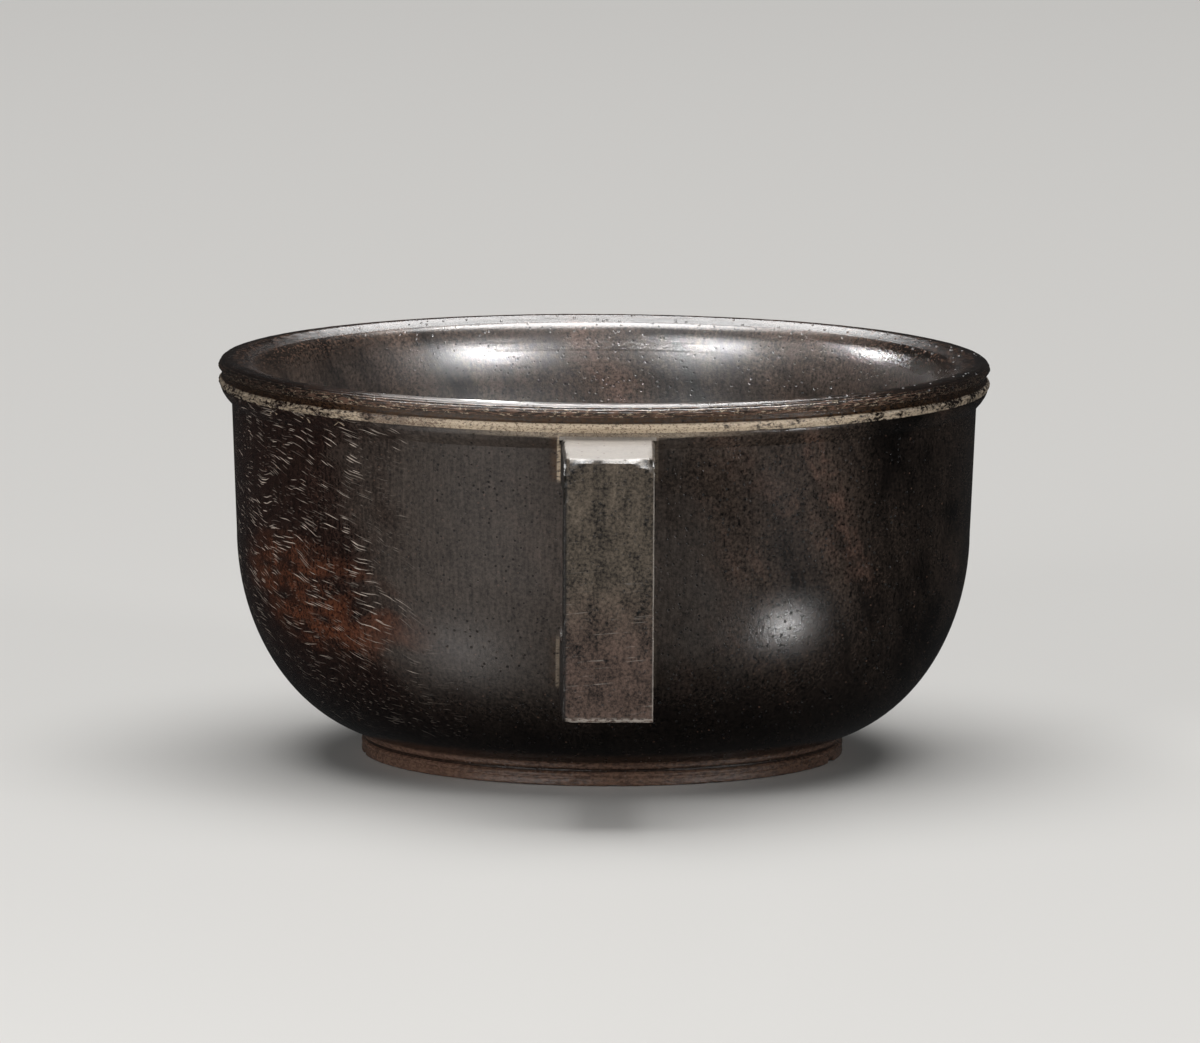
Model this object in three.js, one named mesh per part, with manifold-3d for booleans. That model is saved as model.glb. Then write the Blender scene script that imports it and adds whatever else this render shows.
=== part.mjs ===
// A two-handled cup, turned and carved from one block of dark hardwood.
// Millimetres, +Z up, origin at the middle of the foot's underside. The handles lie along Y.

import * as THREE from 'three';
import { mergeVertices } from 'three/addons/utils/BufferGeometryUtils.js';
import Module from 'manifold-3d';

const wasm = await Module();
wasm.setup();

// The turned bowl
const rimRadius = 40;            // outermost reach of the lip and of the bead below it
const cupHeight = 41.1;          // foot to crest of the lip
const rimOverhang = 1.45;        // the wall stands this far inside the rim
const wallTaper = 0.55;          // the upright wall narrows by this much down to the belly
const uprightWall = 13.2;        // height of the upright wall between rim and belly
const bellyShoulder = 16.5;      // the belly's elliptical curve reaches this far inwards
const wallThickness = 4.05;      // where the lip's roll ends
const hollowTaper = 0.9;         // the hollow narrows by this much from there down to the belly
const floorThickness = 5;
const floorRadius = 12;          // the level middle of the bowl's floor
const hollowFullness = 2.2;      // 2 is an ellipse, more is squarer

// The rim, from its crest down
const lipHeight = 1.4;           // crest to the groove
const lipInset = 1;              // the crest begins this far inside the rim's edge
const crestWidth = 0.9;          // level top of the lip
const lipSlopeWidth = 1.5;       // the lip's inner part, which slopes gently inwards
const lipSlopeDrop = 0.5;
const lipRoll = 7;               // height over which the lip rolls down into the hollow
const rimGrooveHeight = 0.65;
const rimGrooveDepth = 0.5;
const beadHeight = 0.65;
const rimUnderside = 2;          // height of the slope from the bead back to the wall
const rimUndersideBulge = 0.15;
const edgeShare = 0.3;           // how much of a bead's or groove's height its rounded edge takes

// The foot
const footRadius = 25;
const footHeight = 1.5;
const footLineHeight = 0.9;      // a fine turned line around the foot
const footLineDepth = 0.15;
const footGrooveHeight = 0.2;
const footGrooveDepth = 0.4;
const ringHeight = 0.75;         // small ring between the groove and the belly
const ringReach = 0.3;           // the belly begins this far outside the foot
const recessRadius = 21;         // hollow turned in the underside
const recessDepth = 1.2;
const recessSlope = 1.5;

// The two handles
const handleCount = 2;
const handleReach = 15.5;        // past the rim
const handleWidth = 9.06;        // at the front
const handleRootWidth = 9.6;     // at the wall
const handleBottom = 11.05;      // height of its underside
const handleDrop = 0.83;         // its level top lies this far below the bead
const upperArm = 4.2;
const lowerArm = 5.9;
const gripThickness = 5.5;
const openingRadius = 2.5;       // in the corners of the finger opening
const topChamfer = 0.35;         // worn front edge at the top
const bottomRadius = 0.7;        // worn front edge at the bottom

// The ledges left under the bead on both sides of each handle
const ledgeHeight = 1;
const leftLedge = 8.5;
const rightLedge = 10.5;
const ledgeInset = 0.3;          // the ledge stands this far inside the bead

// How finely round forms are stepped
const turns = 72;
const bellySteps = 11;
const hollowSteps = 11;
const lipSteps = 5;
const rollSteps = 7;
const cornerSteps = 4;
const colour = new THREE.Color(0.105, 0.07, 0.058);

// Heights and radii that follow from these sizes
const grooveTop = cupHeight - lipHeight;
const beadTop = grooveTop - rimGrooveHeight;
const beadBottom = beadTop - beadHeight;
const wallTop = beadBottom - rimUnderside;
const bellyTop = wallTop - uprightWall;
const wallRadius = rimRadius - rimOverhang;
const bellyRadius = wallRadius - wallTaper;
const crestRadius = rimRadius - lipInset;
const grooveBottom = footHeight + footGrooveHeight;
const bellyBottom = grooveBottom + ringHeight;
const ringRadius = footRadius + ringReach;
const lipEdge = crestRadius - crestWidth - lipSlopeWidth;
const lipEdgeTop = cupHeight - lipSlopeDrop;
const hollowRadius = wallRadius - wallThickness;
const hollowTop = lipEdgeTop - lipRoll;
const handleFront = rimRadius + handleReach;
const handleTop = beadBottom - handleDrop;

const lerp = THREE.MathUtils.lerp;

// The belly is part of an ellipse that passes through the top of the foot's ring.
const bellyCentre = bellyRadius - bellyShoulder;
const ringShare = (ringRadius - bellyCentre) / bellyShoulder;
const bellyDepth = (bellyTop - bellyBottom) / Math.sqrt(1 - ringShare ** 2);

function superellipse(centre, radius, depth, fullness, drop) {
  const fall = Math.min(drop / depth, 1);
  return centre + (radius - centre) * (1 - fall ** fullness) ** (1 / fullness);
}

function outerRadius(z) {
  if (z >= bellyTop) {
    return lerp(bellyRadius, wallRadius, (z - bellyTop) / (wallTop - bellyTop));
  }
  return superellipse(bellyCentre, bellyRadius, bellyDepth, 2, bellyTop - z);
}

// Points on a quarter turn between two points, bulging towards the corner.
function quarter(from, corner, to, steps) {
  const points = [];
  for (let i = 0; i <= steps; i += 1) {
    const angle = (i / steps) * Math.PI / 2;
    const a = 1 - Math.sin(angle);
    const b = 1 - Math.cos(angle);
    points.push(new THREE.Vector2(
      corner.x + (from.x - corner.x) * a + (to.x - corner.x) * b,
      corner.y + (from.y - corner.y) * a + (to.y - corner.y) * b,
    ));
  }
  return points;
}

function point(r, z) {
  return new THREE.Vector2(r, z);
}

function footProfile() {
  const line = footLineDepth;
  return [
    point(0, recessDepth),
    point(recessRadius - recessSlope, recessDepth),
    point(recessRadius, 0),
    point(footRadius - line, 0),
    point(footRadius, line),
    point(footRadius, footLineHeight - line),
    point(footRadius - line, footLineHeight),
    point(footRadius, footLineHeight + line),
    point(footRadius, footHeight - line),
    point(footRadius - footGrooveDepth, footHeight),
    point(footRadius - footGrooveDepth, grooveBottom),
    point(footRadius, grooveBottom + line),
    point(ringRadius - line, bellyBottom - line),
  ];
}

function bellyProfile() {
  const points = [];
  const depthAngle = Math.asin((bellyTop - bellyBottom) / bellyDepth);
  for (let i = 0; i <= bellySteps; i += 1) {
    const drop = bellyDepth * Math.sin(depthAngle * (1 - i / bellySteps));
    points.push(point(outerRadius(bellyTop - drop), bellyTop - drop));
  }
  points.push(point(wallRadius, wallTop));
  return points;
}

function rimProfile() {
  const lip = quarter(
    point(rimRadius, grooveTop + rimGrooveDepth), point(rimRadius, cupHeight),
    point(crestRadius, cupHeight), lipSteps,
  );
  return [
    point(lerp(wallRadius, rimRadius, 0.5) + rimUndersideBulge, lerp(wallTop, beadBottom, 0.5)),
    point(rimRadius - rimUndersideBulge, beadBottom),
    point(rimRadius, lerp(beadBottom, beadTop, edgeShare)),
    point(rimRadius, lerp(beadTop, beadBottom, edgeShare)),
    point(rimRadius - edgeShare * rimGrooveDepth, beadTop),
    point(rimRadius - rimGrooveDepth, lerp(beadTop, grooveTop, edgeShare)),
    point(rimRadius - rimGrooveDepth, lerp(grooveTop, beadTop, edgeShare)),
    ...lip,
  ];
}

// The hollow tapers down to the height where the belly begins, and curves in from there.
function hollowProfile() {
  const depth = bellyTop - floorThickness;
  const points = [];
  for (let i = 0; i <= hollowSteps; i += 1) {
    const drop = depth * Math.sin((i / hollowSteps) * Math.PI / 2);
    const r = superellipse(floorRadius, hollowRadius - hollowTaper, depth, hollowFullness, drop);
    points.push(point(r, bellyTop - drop));
  }
  points.push(point(0, floorThickness));
  return points;
}

// The inner side of the lip slopes inwards and rolls over to the hollow's wall.
function innerLipProfile() {
  return [
    point(crestRadius - crestWidth, cupHeight),
    ...quarter(
      point(lipEdge, lipEdgeTop), point(hollowRadius, lipEdgeTop),
      point(hollowRadius, hollowTop), rollSteps,
    ),
  ];
}

function solid(geometry) {
  geometry.deleteAttribute('normal');
  geometry.deleteAttribute('uv');
  const merged = mergeVertices(geometry, 1e-4);
  const index = merged.index.array;
  const triangles = [];
  for (let i = 0; i < index.length; i += 3) {
    const [a, b, c] = [index[i], index[i + 1], index[i + 2]];
    if (a !== b && b !== c && c !== a) {
      triangles.push(a, b, c);
    }
  }
  return new wasm.Manifold(new wasm.Mesh({
    numProp: 3,
    vertProperties: new Float32Array(merged.attributes.position.array),
    triVerts: new Uint32Array(triangles),
  }));
}

function turned(profile) {
  const geometry = new THREE.LatheGeometry(profile, turns);
  geometry.rotateX(Math.PI / 2);
  return solid(geometry);
}

function bowlBlock() {
  return turned([...footProfile(), ...bellyProfile(), ...rimProfile(), point(0, cupHeight)]);
}

// The hollow is cut out of the block with a plug that stands above the rim.
function hollowPlug() {
  const above = cupHeight + lipHeight;
  const mouth = [point(0, above), point(crestRadius - crestWidth, above)];
  return turned([...mouth, ...innerLipProfile(), ...hollowProfile()].reverse());
}

// A closed outline whose corners, [u, v, radius], are rounded by true arcs.
function roundedOutline(corners) {
  const points = [];
  corners.forEach(([u, v, radius], i) => {
    const here = point(u, v);
    const before = point(...corners[(i + corners.length - 1) % corners.length]);
    const after = point(...corners[(i + 1) % corners.length]);
    if (radius === 0) {
      points.push(here);
      return;
    }
    const back = before.sub(here).normalize();
    const ahead = after.sub(here).normalize();
    const half = Math.acos(back.dot(ahead)) / 2;
    const centre = back.clone().add(ahead).normalize().multiplyScalar(radius / Math.sin(half)).add(here);
    const start = here.clone().addScaledVector(back, radius / Math.tan(half)).sub(centre);
    const end = here.clone().addScaledVector(ahead, radius / Math.tan(half)).sub(centre);
    const sweep = Math.atan2(start.cross(end), start.dot(end));
    for (let k = 0; k <= cornerSteps; k += 1) {
      points.push(start.clone().rotateAround(new THREE.Vector2(), sweep * k / cornerSteps).add(centre));
    }
  });
  return new THREE.Shape(points);
}

// Extrudes an outline of the side view, in distance from the axis and height, to both sides of X = 0.
function sidewaysSolid(outline, width) {
  const geometry = new THREE.ExtrudeGeometry(outline, { depth: width, bevelEnabled: false });
  geometry.translate(0, 0, -width / 2);
  geometry.applyMatrix4(new THREE.Matrix4().makeBasis(
    new THREE.Vector3(0, 1, 0), new THREE.Vector3(0, 0, 1), new THREE.Vector3(1, 0, 0),
  ));
  return solid(geometry);
}

function uprightSolid(outline, bottom, height) {
  const geometry = new THREE.ExtrudeGeometry(outline, { depth: height, bevelEnabled: false });
  geometry.translate(0, 0, bottom);
  return solid(geometry);
}

// One handle, carved with the block: it starts at the block's middle and stands out along +Y.
function handle() {
  const side = roundedOutline([
    [0, handleBottom, 0],
    [handleFront, handleBottom, bottomRadius],
    [handleFront, handleTop - topChamfer, 0],
    [handleFront - topChamfer, handleTop, 0],
    [0, handleTop, 0],
  ]);
  const halfRoot = handleRootWidth / 2;
  const halfFront = handleWidth / 2;
  const openingBottom = handleBottom + lowerArm;
  const openingTop = handleTop - upperArm;
  const openingEnd = handleFront - gripThickness;
  const wallFace = Math.sqrt(outerRadius(openingBottom) ** 2 - halfRoot ** 2);
  const opening = roundedOutline([
    [wallFace, openingBottom, openingRadius],
    [openingEnd, openingBottom, openingRadius],
    [openingEnd, openingTop, openingRadius],
    [wallFace, openingTop, openingRadius],
  ]);
  const plan = new THREE.Shape([
    point(-halfRoot, 0), point(halfRoot, 0), point(halfRoot, wallRadius),
    point(halfFront, handleFront), point(-halfFront, handleFront), point(-halfRoot, wallRadius),
  ]);
  const widest = 2 * Math.max(handleRootWidth, handleWidth);
  return sidewaysSolid(side, widest)
    .intersect(uprightSolid(plan, 0, cupHeight))
    .subtract(sidewaysSolid(opening, widest));
}

// Wood left standing under the bead beside a handle, thinning out along the rim.
function ledges() {
  const outerEdge = rimRadius - ledgeInset;
  const innerEdge = wallRadius - wallThickness / 2;
  const low = beadBottom - ledgeHeight;
  const high = lerp(beadBottom, beadTop, edgeShare);
  const ring = turned([
    point(innerEdge, low), point(outerEdge, low), point(outerEdge, high), point(innerEdge, high),
    point(innerEdge, low),
  ]);
  const half = handleRootWidth / 2;
  const wedge = new THREE.Shape([
    point(-half - leftLedge, high), point(-half - leftLedge, beadBottom), point(-half, low),
    point(half, low), point(half + rightLedge, beadBottom), point(half + rightLedge, high),
  ]);
  const geometry = new THREE.ExtrudeGeometry(wedge, { depth: rimRadius, bevelEnabled: false });
  geometry.applyMatrix4(new THREE.Matrix4().makeBasis(
    new THREE.Vector3(-1, 0, 0), new THREE.Vector3(0, 0, 1), new THREE.Vector3(0, 1, 0),
  ));
  return ring.intersect(solid(geometry));
}

function cupSolid() {
  let block = bowlBlock();
  for (let i = 0; i < handleCount; i += 1) {
    const angle = 360 * i / handleCount;
    block = block.add(handle().rotate([0, 0, angle]));
    block = block.add(ledges().rotate([0, 0, angle]));
  }
  return block.subtract(hollowPlug());
}

function geometryOf(body) {
  const mesh = body.getMesh();
  const geometry = new THREE.BufferGeometry();
  geometry.setAttribute('position', new THREE.BufferAttribute(new Float32Array(mesh.vertProperties), 3));
  geometry.setIndex(new THREE.BufferAttribute(new Uint32Array(mesh.triVerts), 1));
  geometry.computeVertexNormals();
  return geometry;
}

const polishedHardwood = new THREE.MeshStandardMaterial({ color: colour, roughness: 0.42, metalness: 0 });
const cup = new THREE.Mesh(geometryOf(cupSolid()), polishedHardwood);
cup.name = 'cup';

const model = new THREE.Group();
model.add(cup);

export default model;
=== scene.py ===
"""A small two-handled cup, turned and carved from one block of dark, curly hardwood.

Metres, +Z up, origin at the middle of the foot's underside. The handles lie along Y.
"""

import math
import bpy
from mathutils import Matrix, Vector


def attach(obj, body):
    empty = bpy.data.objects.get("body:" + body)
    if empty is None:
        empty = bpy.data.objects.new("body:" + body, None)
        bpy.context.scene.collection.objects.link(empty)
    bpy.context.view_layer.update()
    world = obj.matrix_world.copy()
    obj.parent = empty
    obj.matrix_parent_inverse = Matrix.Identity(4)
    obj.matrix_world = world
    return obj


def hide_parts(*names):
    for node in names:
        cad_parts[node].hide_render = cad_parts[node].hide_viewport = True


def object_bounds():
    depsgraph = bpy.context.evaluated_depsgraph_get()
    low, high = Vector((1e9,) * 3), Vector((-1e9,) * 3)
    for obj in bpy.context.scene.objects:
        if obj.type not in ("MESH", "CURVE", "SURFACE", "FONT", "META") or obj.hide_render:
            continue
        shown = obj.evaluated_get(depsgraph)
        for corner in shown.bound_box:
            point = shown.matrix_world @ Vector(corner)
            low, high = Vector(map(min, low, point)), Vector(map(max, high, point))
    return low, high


bl_info = {
    "name": "Two-handled wooden cup",
    "version": (1, 0, 0),
    "blender": (4, 5, 0),
    "location": "View3D > Sidebar > Cup",
    "description": "Turns and carves a small two-handled cup of dark, curly hardwood",
    "category": "Add Mesh",
}

import bpy
from bpy.props import FloatProperty, FloatVectorProperty, IntProperty, PointerProperty
from mathutils import Quaternion, Vector, noise

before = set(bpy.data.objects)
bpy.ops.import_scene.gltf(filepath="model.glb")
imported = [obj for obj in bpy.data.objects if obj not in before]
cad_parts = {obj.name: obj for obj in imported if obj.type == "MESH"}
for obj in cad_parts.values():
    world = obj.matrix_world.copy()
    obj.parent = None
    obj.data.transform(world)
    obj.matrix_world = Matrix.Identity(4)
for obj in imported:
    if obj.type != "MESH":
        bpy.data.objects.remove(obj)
cad_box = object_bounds()
HIGH = cad_box[1]
MM = 0.001


# The sizes and colours that a user can change

def length(name, description, default):
    """A length. Its default is given in millimetres."""
    return FloatProperty(
        name=name, description=description, default=default * MM, min=0, precision=5, unit="LENGTH",
    )


def colour(name, description, default):
    return FloatVectorProperty(
        name=name, description=description, default=default, min=0, max=1, subtype="COLOR",
    )


class BowlSizes(bpy.types.PropertyGroup):
    """The turned bowl between foot and rim."""
    radius: length("Rim radius", "Outermost reach of the lip and of the bead below it", HIGH.x / MM)
    height: length("Height", "Foot to crest of the lip", HIGH.z / MM)
    overhang: length("Rim overhang", "The wall stands this far inside the rim", 1.45)
    taper: length("Wall taper", "The upright wall narrows by this much down to the belly", 0.55)
    upright: length("Upright wall", "Height of the wall between rim and belly", 13.2)
    shoulder: length("Belly shoulder", "How far the belly's curve reaches inwards", 16.5)
    wall: length("Wall thickness", "Where the lip's roll ends", 4.05)
    hollow_taper: length("Hollow taper", "The hollow narrows by this much from there to the belly", 0.9)
    floor: length("Floor thickness", "Wood under the middle of the bowl", 5)
    floor_radius: length("Floor radius", "The level middle of the bowl's floor", 12)
    fullness: FloatProperty(
        name="Hollow fullness", description="2 is an ellipse, more is squarer", default=2.2, min=1,
    )
    turns: IntProperty(name="Turns", description="Steps around the bowl", default=390, min=24)


class RimSizes(bpy.types.PropertyGroup):
    """The lip, the groove and the bead."""
    lip: length("Lip height", "Crest to the groove", 1.4)
    inset: length("Lip inset", "The crest begins this far inside the rim's edge", 1)
    crest: length("Crest width", "Level top of the lip", 0.9)
    slope: length("Lip slope width", "The lip's inner part, which slopes gently inwards", 1.5)
    drop: length("Lip slope drop", "Fall of that slope", 0.5)
    roll: length("Lip roll", "Height over which the lip rolls down into the hollow", 7)
    groove: length("Groove height", "Width of the turned groove", 0.65)
    groove_depth: length("Groove depth", "Depth of the turned groove", 0.5)
    bead: length("Bead height", "Width of the turned bead", 0.65)
    under: length("Underside", "Height of the slope from the bead back to the wall", 2)
    bulge: length("Underside bulge", "How much that slope swells", 0.15)
    line_spacing: length("Turned line spacing", "Fine lines that the turner's tool left on the lip", 0.34)
    line_depth: length("Turned line depth", "Depth of the fine lines", 0.045)


class FootSizes(bpy.types.PropertyGroup):
    """The foot ring and the recess in the underside."""
    radius: length("Foot radius", "Outer radius of the foot ring", 25)
    height: length("Foot height", "Height of the foot ring", 1.5)
    line: length("Line height", "Height of a fine turned line around the foot", 0.9)
    line_depth: length("Line depth", "Depth of that line", 0.15)
    groove: length("Groove height", "Groove above the foot ring", 0.2)
    groove_depth: length("Groove depth", "Depth of that groove", 0.4)
    ring: length("Ring height", "Small ring between the groove and the belly", 0.75)
    reach: length("Ring reach", "The belly begins this far outside the foot", 0.3)
    recess: length("Recess radius", "Hollow turned in the underside", 21)
    recess_depth: length("Recess depth", "Depth of the underside's hollow", 1.2)
    recess_slope: length("Recess slope", "Width of the recess's sloping side", 1.5)


class HandleSizes(bpy.types.PropertyGroup):
    """The two square handles and the ledges beside them."""
    reach: length("Reach", "From the cup's axis to the handle's front", HIGH.y / MM)
    width: length("Width", "At the front", 9.06)
    root: length("Root width", "At the wall", 9.6)
    bottom: length("Underside", "Height of the handle's underside", 11.05)
    drop: length("Drop", "The level top lies this far below the bead", 0.83)
    upper: length("Upper arm", "Wood above the finger opening", 4.2)
    lower: length("Lower arm", "Wood below the finger opening", 5.9)
    grip: length("Grip thickness", "Wood in front of the finger opening", 5.5)
    opening: length("Opening radius", "In the corners of the finger opening", 2.5)
    chamfer: length("Top chamfer", "Worn front edge at the top", 0.35)
    rounding: length("Bottom rounding", "Worn front edge at the bottom", 0.7)
    arris: length("Arris", "Rounding of the sharp edges", 0.13)
    ledge: length("Ledge height", "Wood left under the bead beside a handle", 1)
    ledge_inset: length("Ledge inset", "The ledge stands this far inside the bead", 0.3)
    left_ledge: length("Left ledge", "Length of the ledge on one side", 8.5)
    right_ledge: length("Right ledge", "Length of the ledge on the other side", 10.5)
    cell: length("Cell", "Spacing of the carved surface's points", 0.42)


class WearAmounts(bpy.types.PropertyGroup):
    """How far use and age have worn the surface."""
    waviness: length("Waviness", "How unevenly the surface was cut and has shrunk", 0.07)
    torn: length("Torn grain", "Roughness of the lip's lower edge", 0.09)
    bead: length("Bead wear", "Roughness of the bead", 0.15)
    chip: length("Foot chips", "Depth of the chips in the foot's edge", 0.4)
    nick: length("Nicks", "Depth of the nicks in the handles' edges", 0.3)
    fibre: length("Fibres", "Thickness of the fibres torn from the bead", 0.13)


class WoodColours(bpy.types.PropertyGroup):
    """The colours of the wood, of what lies on it, and of painted light and shade."""
    # Heart is also painted as shade: low on the belly, on the rim's top towards its two sides, in the foot's
    # groove and along the handles' left arrises.
    heart_and_shade: colour("Heart", "The darkest wood, on one side and low on the belly", (0.0034, 0.0025, 0.0021))
    dark: colour("Dark wood", "Most of the wood", (0.027, 0.0195, 0.0155))
    brown: colour("Brown wood", "Lighter growth layers", (0.042, 0.03, 0.0235))
    # Lighter, greyer wood that is partly a painted sheen, where a lamp's broad reflection falls left of the
    # front handle.
    brown_and_painted_sheen: colour("Satin wood", "The even zone left of the front handle", (0.056, 0.044, 0.0365))
    red: colour("Red wood", "The lightest, reddish streaks", (0.09, 0.053, 0.04))
    ruddy: colour("Ruddy wood", "Dark wood between the flecks", (0.012, 0.0052, 0.004))
    amber: colour("Amber wood", "The warm patch on one side", (0.085, 0.028, 0.013))
    olive: colour("Olive wood", "The upper half of the handles' fronts", (0.062, 0.049, 0.036))
    rosy: colour("Rosy wood", "The lower half of the handles' fronts", (0.062, 0.04, 0.031))
    fleck: colour("Flecks", "Pores cut lengthwise, filled with wax and dust", (0.5, 0.43, 0.37))
    # Dust is also painted as a highlight: the pale line where the small fillet in each handle's crease
    # catches the light.
    dust: colour("Dust", "What has settled on the bead and in the creases", (0.52, 0.42, 0.305))
    rust: colour("Stain", "Brown stain around the dusty creases", (0.085, 0.045, 0.022))
    bare: colour("Bare wood", "Worn wood on the lip and at the foot's edge", (0.18, 0.105, 0.074))
    # Worn is also painted as light: a highlight along the handles' right arrises and a reflection on their
    # level tops.
    worn: colour("Worn edges", "Polished by hands, on crest and arrises", (0.4, 0.36, 0.32))


class StageSettings(bpy.types.PropertyGroup):
    """Floor, lights and camera."""
    floor: colour("Floor", "Colour of the plain floor", (0.62, 0.61, 0.59))
    extent: length("Floor extent", "Half the width of the floor", 8000)
    room: FloatProperty(
        name="Room light", description="Brightness of the even light from all around", default=0.025,
    )
    lens: FloatProperty(name="Lens", description="Focal length", default=0.37967, unit="CAMERA")
    roll: FloatProperty(name="Roll", description="Turn about the view axis", default=0.0061, subtype="ANGLE")


# Lines and outlines

def lerp(a, b, t):
    return a + (b - a) * t


def quarter(start, corner, end, steps):
    """Points on a quarter turn between two points, bulging towards the corner."""
    points = []
    for i in range(steps + 1):
        angle = math.pi / 2 * i / steps
        a = 1 - math.sin(angle)
        b = 1 - math.cos(angle)
        points.append(tuple(c + (s - c) * a + (e - c) * b for s, c, e in zip(start, corner, end)))
    return points


def closer(points, spacing):
    """The same line with more points, none further apart than spacing."""
    fine = [points[0]]
    for a, b in zip(points, points[1:]):
        parts = max(1, math.ceil(math.dist(a, b) / spacing))
        fine += [tuple(lerp(p, q, i / parts) for p, q in zip(a, b)) for i in range(1, parts + 1)]
    return fine


def eased(points):
    """The same line with each inner corner cut at a quarter of its sides."""
    cut = [points[0]]
    for a, b in zip(points, points[1:]):
        cut.append(tuple(lerp(p, q, 0.25) for p, q in zip(a, b)))
        cut.append(tuple(lerp(p, q, 0.75) for p, q in zip(a, b)))
    return cut + [points[-1]]


def superellipse(centre, radius, depth, fullness, drop):
    fall = min(drop / depth, 1)
    return centre + (radius - centre) * (1 - fall ** fullness) ** (1 / fullness)


class Form:
    """Heights and radii that follow from the sizes."""

    def __init__(self, scene):
        self.bowl = bowl = scene.cup_bowl
        self.rim = rim = scene.cup_rim
        self.foot = foot = scene.cup_foot
        self.handle = scene.cup_handle
        self.groove_top = bowl.height - rim.lip
        self.bead_top = self.groove_top - rim.groove
        self.bead_bottom = self.bead_top - rim.bead
        self.wall_top = self.bead_bottom - rim.under
        self.belly_top = self.wall_top - bowl.upright
        self.wall_radius = bowl.radius - bowl.overhang
        self.belly_radius = self.wall_radius - bowl.taper
        self.crest_radius = bowl.radius - rim.inset
        self.groove_bottom = foot.height + foot.groove
        self.belly_bottom = self.groove_bottom + foot.ring
        self.ring_radius = foot.radius + foot.reach
        self.lip_edge = self.crest_radius - rim.crest - rim.slope
        self.lip_edge_top = bowl.height - rim.drop
        self.hollow_radius = self.wall_radius - bowl.wall
        self.hollow_top = self.lip_edge_top - rim.roll
        self.handle_top = self.bead_bottom - self.handle.drop
        self.belly_centre = self.belly_radius - bowl.shoulder
        ring_share = (self.ring_radius - self.belly_centre) / bowl.shoulder
        self.belly_depth = (self.belly_top - self.belly_bottom) / math.sqrt(1 - ring_share ** 2)

    def outer_radius(self, z):
        if z >= self.belly_top:
            t = (z - self.belly_top) / (self.wall_top - self.belly_top)
            return lerp(self.belly_radius, self.wall_radius, t)
        return superellipse(self.belly_centre, self.belly_radius, self.belly_depth, 2, self.belly_top - z)

    def foot_line(self, coarse=2.5 * MM, level=0.5 * MM, fine=0.16 * MM):
        """The underside and the foot, from the axis out and up to the belly."""
        foot = self.foot
        line = foot.line_depth
        under = [
            (0, foot.recess_depth),
            (foot.recess - foot.recess_slope, foot.recess_depth),
            (foot.recess, 0),
        ]
        ring = [
            (foot.recess, 0),
            (foot.radius - line, 0),
            (foot.radius, line),
            (foot.radius, foot.line - line),
            (foot.radius - line, foot.line),
            (foot.radius, foot.line + line),
            (foot.radius, foot.height - line),
            (foot.radius - foot.groove_depth, foot.height),
            (foot.radius - foot.groove_depth, self.groove_bottom),
            (foot.radius, self.groove_bottom + line),
            (self.ring_radius - line, self.belly_bottom - line),
            (self.ring_radius, self.belly_bottom),
        ]
        return closer(under, coarse)[:-1] + closer(ring[:2], level)[:-1] + closer(eased(ring[1:]), fine)

    def belly_line(self, steps=26, spacing=1.2 * MM):
        """The belly, without its two ends, and the upright wall."""
        points = []
        whole = math.asin((self.belly_top - self.belly_bottom) / self.belly_depth)
        for i in range(1, steps + 1):
            drop = self.belly_depth * math.sin(whole * (1 - i / steps))
            points.append((self.outer_radius(self.belly_top - drop), self.belly_top - drop))
        wall = closer([points[-1], (self.wall_radius, self.wall_top)], spacing)
        return points[:-1] + wall

    def rim_line(self, steps=17, spacing=0.14 * MM, edge_share=0.3):
        """From the top of the wall round the bead, the groove and the lip to the crest.

        The rounded edges take edge_share of the bead's and the groove's height.
        """
        rim, edge = self.rim, self.bowl.radius
        middle = lerp(self.wall_radius, edge, 0.5) + rim.bulge
        low = [
            (self.wall_radius, self.wall_top),
            (middle, lerp(self.wall_top, self.bead_bottom, 0.5)),
            (edge - rim.bulge, self.bead_bottom),
            (edge, lerp(self.bead_bottom, self.bead_top, edge_share)),
            (edge, lerp(self.bead_top, self.bead_bottom, edge_share)),
            (edge - edge_share * rim.groove_depth, self.bead_top),
            (edge - rim.groove_depth, lerp(self.bead_top, self.groove_top, edge_share)),
            (edge - rim.groove_depth, lerp(self.groove_top, self.bead_top, edge_share)),
            (edge, self.groove_top + rim.groove_depth),
        ]
        lip = quarter(low[-1], (edge, self.bowl.height), (self.crest_radius, self.bowl.height), steps)
        return closer(eased(low), spacing)[1:] + self.turned_lines(lip)[1:]

    def turned_lines(self, lip):
        """Presses fine lines into the lip's rounding."""
        centre = (self.crest_radius, self.groove_top + self.rim.groove_depth)
        pressed = []
        along = 0
        for i, (r, z) in enumerate(lip):
            along += math.dist(lip[i - 1], lip[i]) if i else 0
            wave = 0.5 - 0.5 * math.cos(2 * math.pi * along / self.rim.line_spacing)
            out = Vector((r - centre[0], z - centre[1])).normalized()
            press = self.rim.line_depth * wave ** 2
            pressed.append((r - out.x * press, z - out.y * press))
        return pressed

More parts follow.
